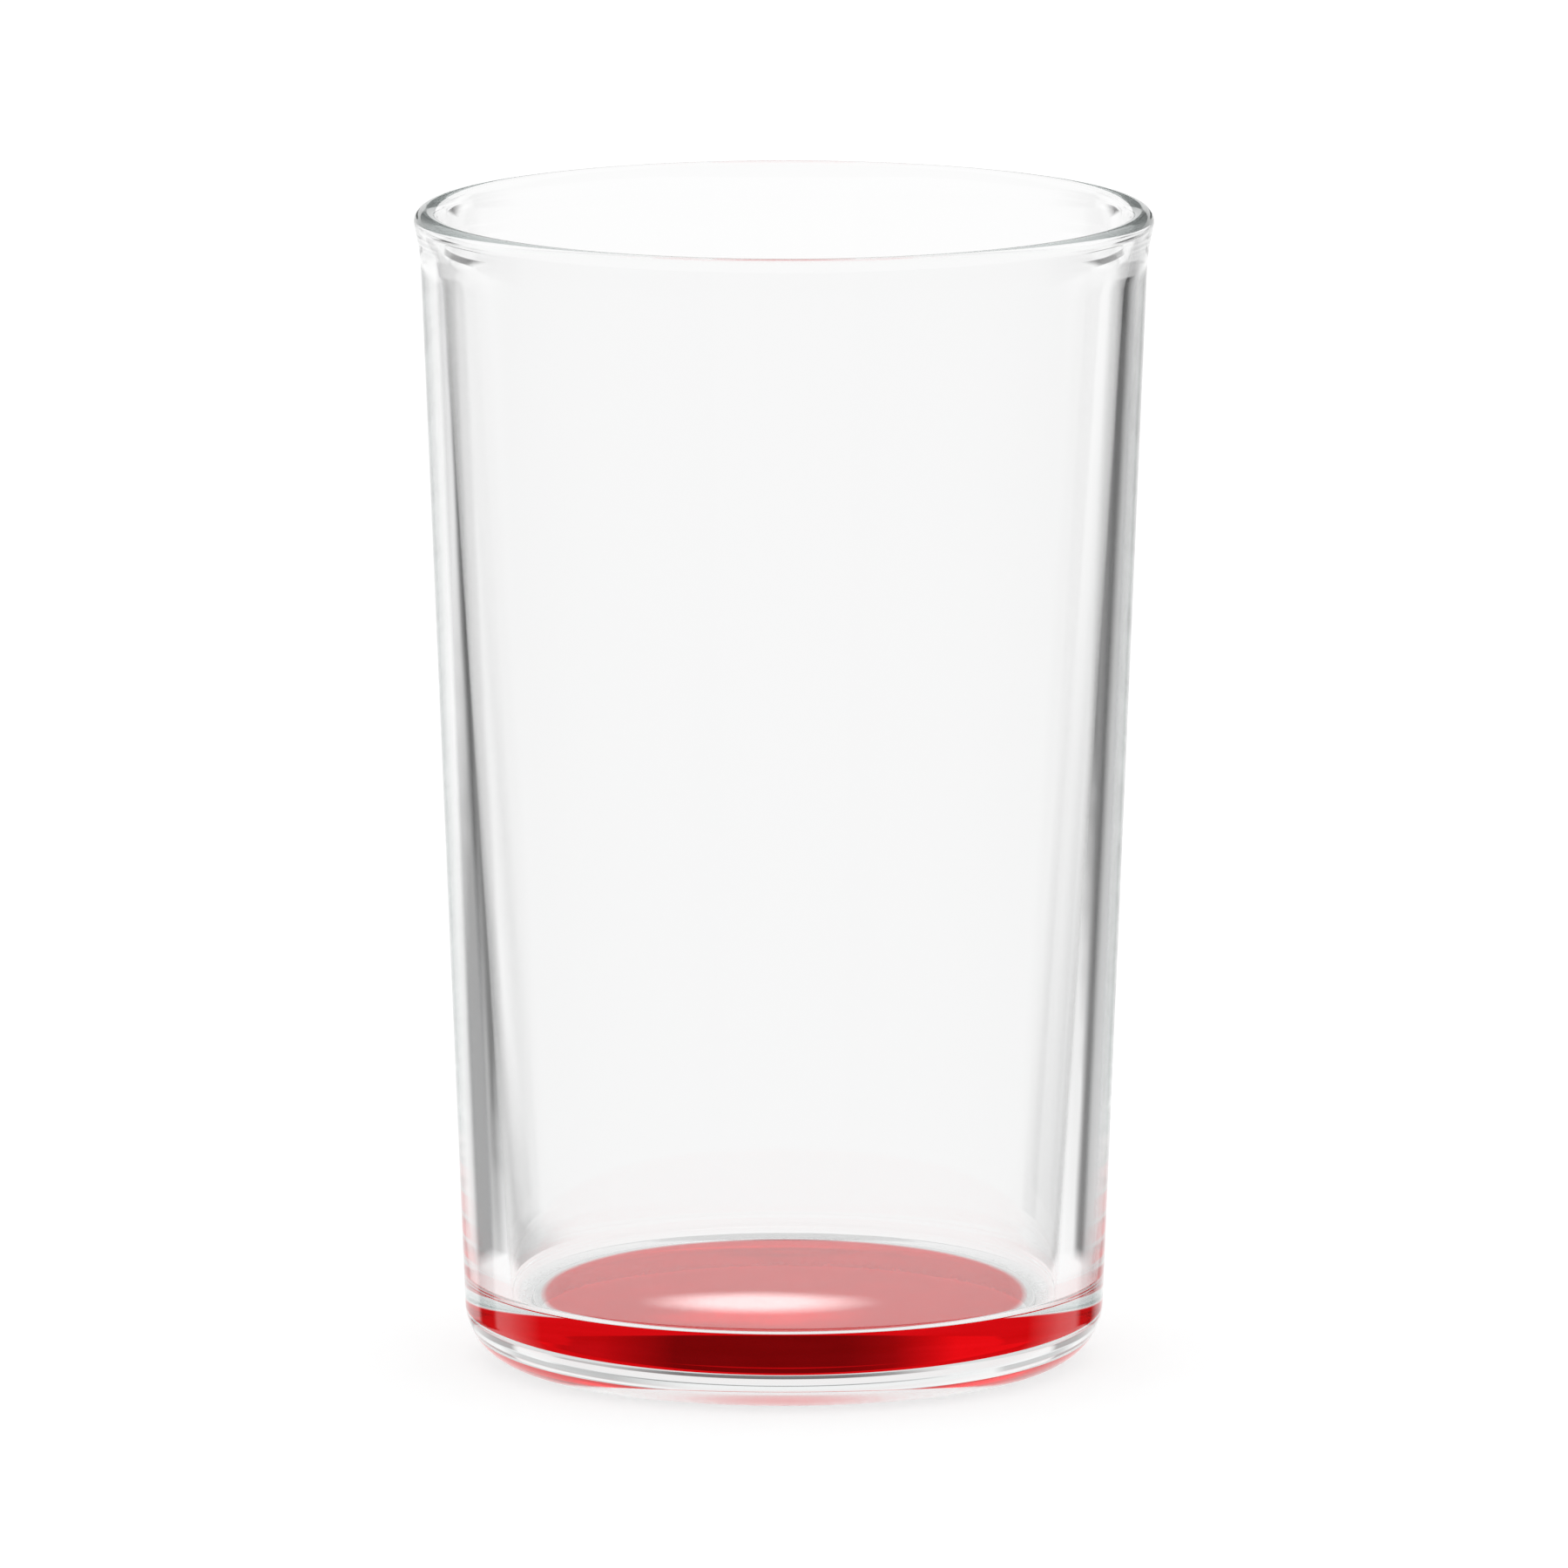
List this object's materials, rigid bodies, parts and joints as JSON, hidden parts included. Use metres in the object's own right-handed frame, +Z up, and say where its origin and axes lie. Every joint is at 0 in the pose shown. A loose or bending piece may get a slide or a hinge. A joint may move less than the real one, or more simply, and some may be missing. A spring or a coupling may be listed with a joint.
{
  "type": "sampler glass",
  "caption": "Small heavy-based tapering drinking glass with a rounded rim, a thick clear base and a see-through red colour coat under the base.",
  "frame": {"origin": "centre of the ring that the glass rests on, at table level", "axes": "+Z up along the glass's own axis; X and Y are alike, because the glass is a body of revolution"},
  "size_m": [0.0564, 0.0564, 0.089],
  "materials": {
    "clear_glass": "clear, fire-polished",
    "red_coat": "see-through red lacquer, sprayed on and baked"
  },
  "bodies": {
    "root": {"tumbler": "clear_glass", "base_coat": "red_coat"}
  },
  "joints": []
}
